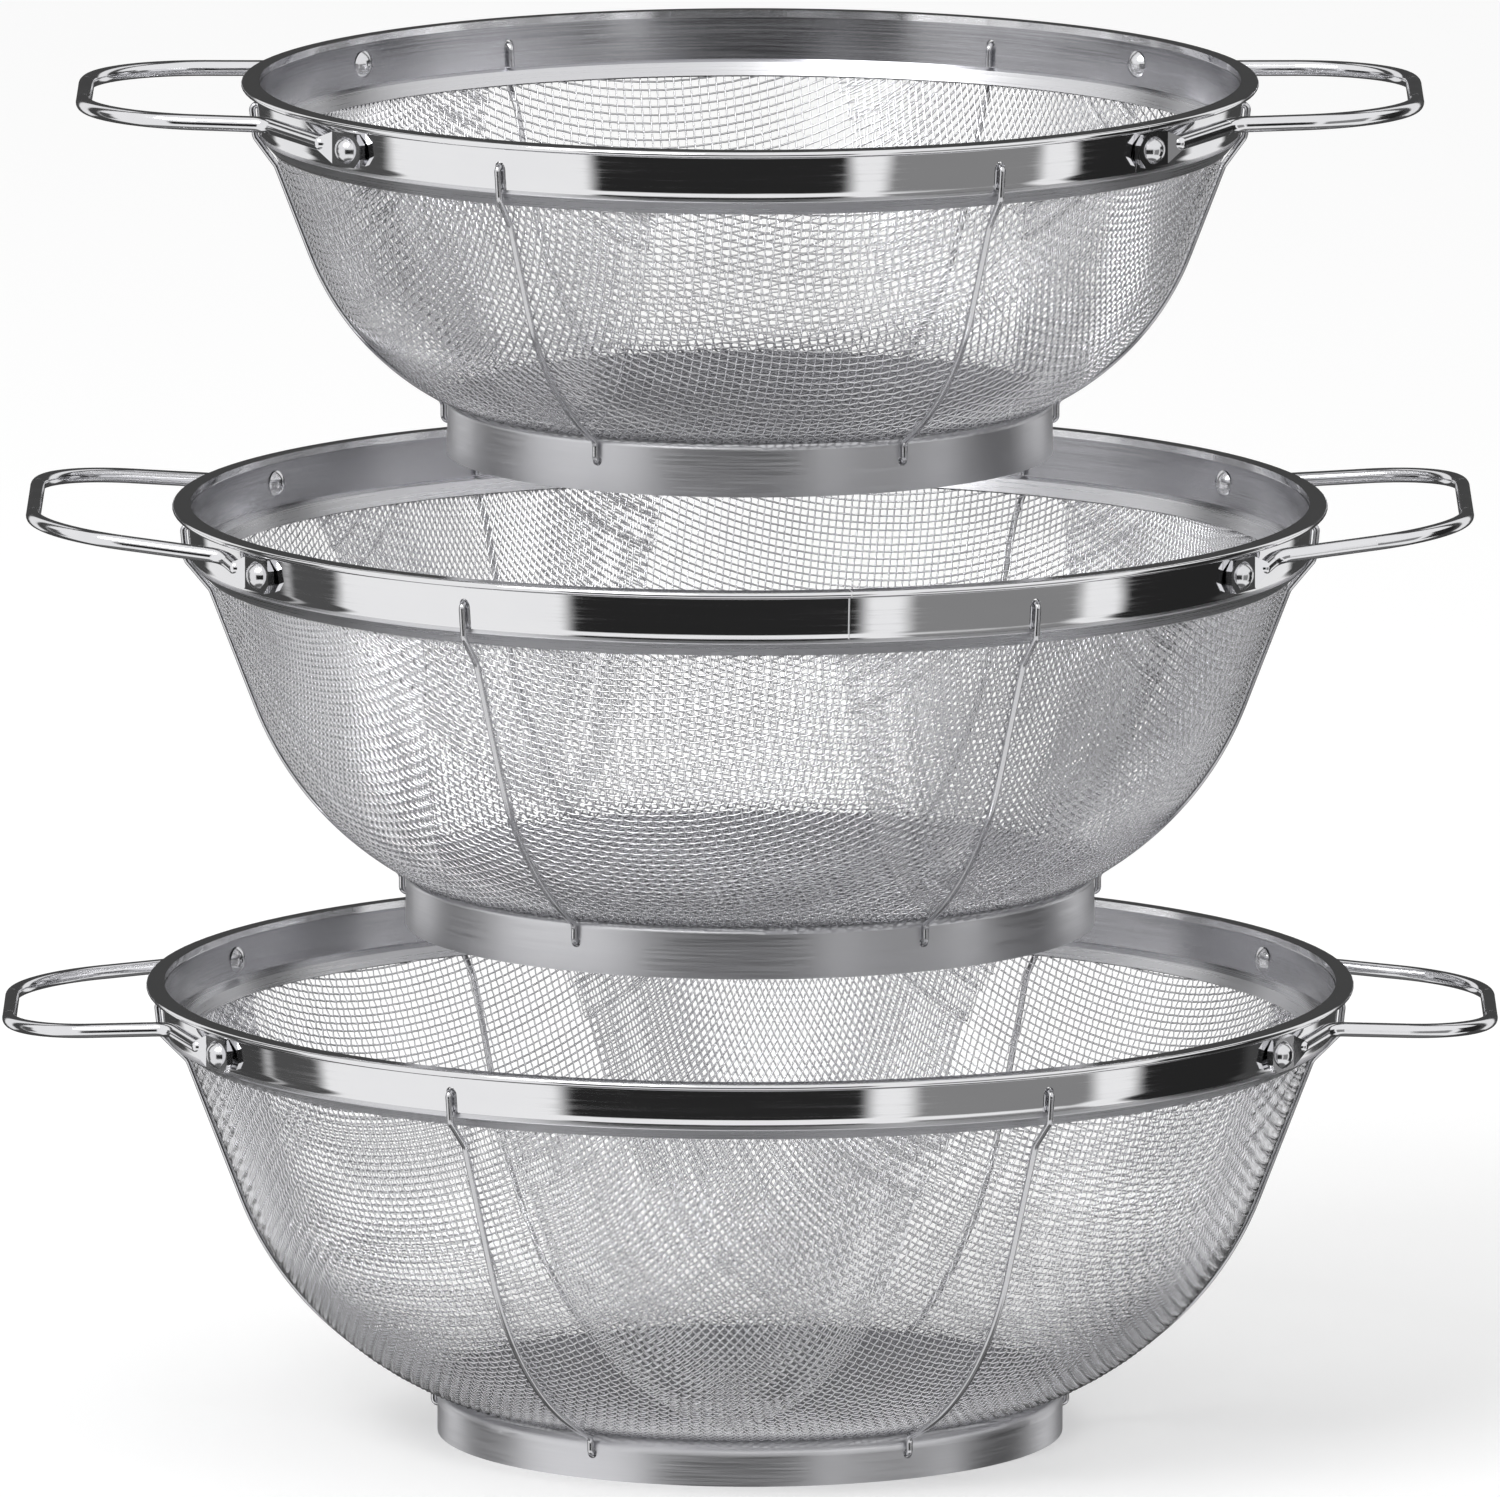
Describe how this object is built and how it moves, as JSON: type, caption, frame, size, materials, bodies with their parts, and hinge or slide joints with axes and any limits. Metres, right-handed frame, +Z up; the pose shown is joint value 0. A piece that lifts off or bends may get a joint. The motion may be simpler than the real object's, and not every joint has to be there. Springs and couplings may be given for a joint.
{
  "type": "mesh strainer set",
  "caption": "Nesting set of footed stainless mesh strainers with riveted wire handles, for straining honey, drawn lifted apart one above another.",
  "frame": {"origin": "centre of the large strainer's foot, on the surface it stands on", "axes": "+X along the line through the handles, +Y across it away from the front, +Z up along the common axis of the three bowls"},
  "size_m": [0.2992, 0.242, 0.2738],
  "materials": {
    "polished_band": "polished stainless strip",
    "satin_strip": "satin stainless strip",
    "woven_mesh": "drawn stainless wire, square woven",
    "satin_foot": "satin pressed stainless ring",
    "strut_wire": "drawn stainless wire",
    "handle_wire": "polished stainless wire",
    "rivet_steel": "polished domed rivet"
  },
  "bodies": {
    "large": {"large_rim_band": "polished_band", "large_clamp_ring": "satin_strip", "large_mesh_bowl": "woven_mesh", "large_foot_ring": "satin_foot", "large_strut_1": "strut_wire", "large_strut_2": "strut_wire", "large_strut_3": "strut_wire", "large_strut_4": "strut_wire", "large_strut_5": "strut_wire", "large_strut_6": "strut_wire", "large_handle_left": "handle_wire", "large_handle_right": "handle_wire", "large_rivets": "rivet_steel"},
    "medium": {"medium_rim_band": "polished_band", "medium_clamp_ring": "satin_strip", "medium_mesh_bowl": "woven_mesh", "medium_foot_ring": "satin_foot", "medium_strut_1": "strut_wire", "medium_strut_2": "strut_wire", "medium_strut_3": "strut_wire", "medium_strut_4": "strut_wire", "medium_strut_5": "strut_wire", "medium_strut_6": "strut_wire", "medium_handle_left": "handle_wire", "medium_handle_right": "handle_wire", "medium_rivets": "rivet_steel"},
    "small": {"small_rim_band": "polished_band", "small_clamp_ring": "satin_strip", "small_mesh_bowl": "woven_mesh", "small_foot_ring": "satin_foot", "small_strut_1": "strut_wire", "small_strut_2": "strut_wire", "small_strut_3": "strut_wire", "small_strut_4": "strut_wire", "small_strut_5": "strut_wire", "small_strut_6": "strut_wire", "small_handle_left": "handle_wire", "small_handle_right": "handle_wire", "small_rivets": "rivet_steel"}
  },
  "joints": [
    {"name": "medium_lift", "type": "slide", "parent": "large", "child": "medium", "axis": [0, 0, 1], "range_m": [-0.09, 0]},
    {"name": "small_lift", "type": "slide", "parent": "medium", "child": "small", "axis": [0, 0, 1], "range_m": [-0.0797, 0]}
  ]
}
